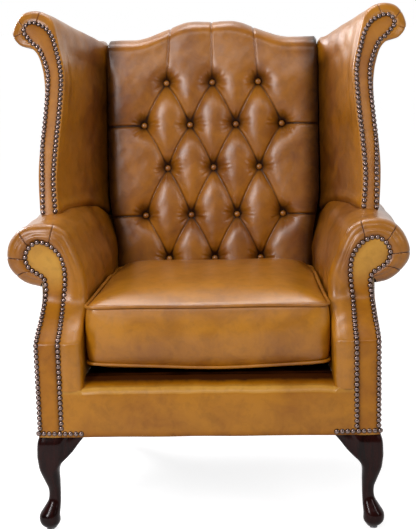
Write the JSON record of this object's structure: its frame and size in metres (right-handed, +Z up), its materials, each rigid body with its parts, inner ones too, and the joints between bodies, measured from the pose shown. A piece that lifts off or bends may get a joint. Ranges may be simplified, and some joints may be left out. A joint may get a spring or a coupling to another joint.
{
  "type": "wingback chair",
  "caption": "Wing chair in antiqued tan leather with deep-buttoned back, scroll arms and wings, loose seat cushion and cabriole front legs.",
  "frame": {"origin": "centre of the footprint box, on the floor under the chair", "axes": "+Z up, -Y towards the front of the chair, +X towards the sitter's left-hand side"},
  "size_m": [0.8872, 0.7298, 1.067],
  "materials": {
    "leather": "satin, antiqued tan hide with darker burnish",
    "leather_light": "satin, lighter golden-tan hide",
    "leg_wood": "polished dark mahogany",
    "frame_wood": "unfinished beech",
    "nail_metal": "antique bronze",
    "foam": "matt foam and wadding",
    "cloth": "matt woven cloth",
    "spring_steel": "oiled spring wire",
    "glide_steel": "nickelled"
  },
  "bodies": {
    "chair": {"front_rail": "frame_wood", "back_rail": "frame_wood", "side_rail_left": "frame_wood", "side_rail_right": "frame_wood", "corner_blocks": "frame_wood", "arm_post_left": "frame_wood", "arm_post_right": "frame_wood", "arm_rail_left": "frame_wood", "arm_rail_right": "frame_wood", "arm_tack_rail_left": "frame_wood", "arm_tack_rail_right": "frame_wood", "back_post_left": "frame_wood", "back_post_right": "frame_wood", "crest_rail": "frame_wood", "back_tack_rail": "frame_wood", "wing_post_left": "frame_wood", "wing_post_right": "frame_wood", "wing_rail_left": "frame_wood", "wing_rail_right": "frame_wood", "seat_springs": "spring_steel", "spring_clips": "spring_steel", "back_webbing": "cloth", "deck_pad": "foam", "deck_cover": "leather", "front_rail_cover": "leather", "inside_back_quilt": "leather", "inside_back_foam": "foam", "back_buttons": "leather", "crest_roll": "leather", "outside_back": "leather", "inside_arm_pad_left": "foam", "inside_arm_pad_right": "foam", "inside_arm_leather_left": "leather", "inside_arm_leather_right": "leather", "outside_arm_left": "leather", "outside_arm_right": "leather", "arm_facing_left": "leather_light", "arm_facing_right": "leather_light", "inside_wing_pad_left": "foam", "inside_wing_pad_right": "foam", "inside_wing_leather_left": "leather", "inside_wing_leather_right": "leather", "outside_wing_left": "leather", "outside_wing_right": "leather", "wing_facing_left": "leather_light", "wing_facing_right": "leather_light", "front_leg_left": "leg_wood", "front_leg_right": "leg_wood", "rear_leg_left": "leg_wood", "rear_leg_right": "leg_wood", "leg_glides": "glide_steel", "dust_cover": "cloth"},
    "seat_cushion": {"seat_cushion_cover": "leather", "seat_cushion_core": "foam", "cushion_welts": "leather"}
  },
  "joints": [
    {"name": "cushion_lift", "type": "slide", "parent": "chair", "child": "seat_cushion", "axis": [0, 0, 1], "range_m": [0, 0.36]}
  ]
}
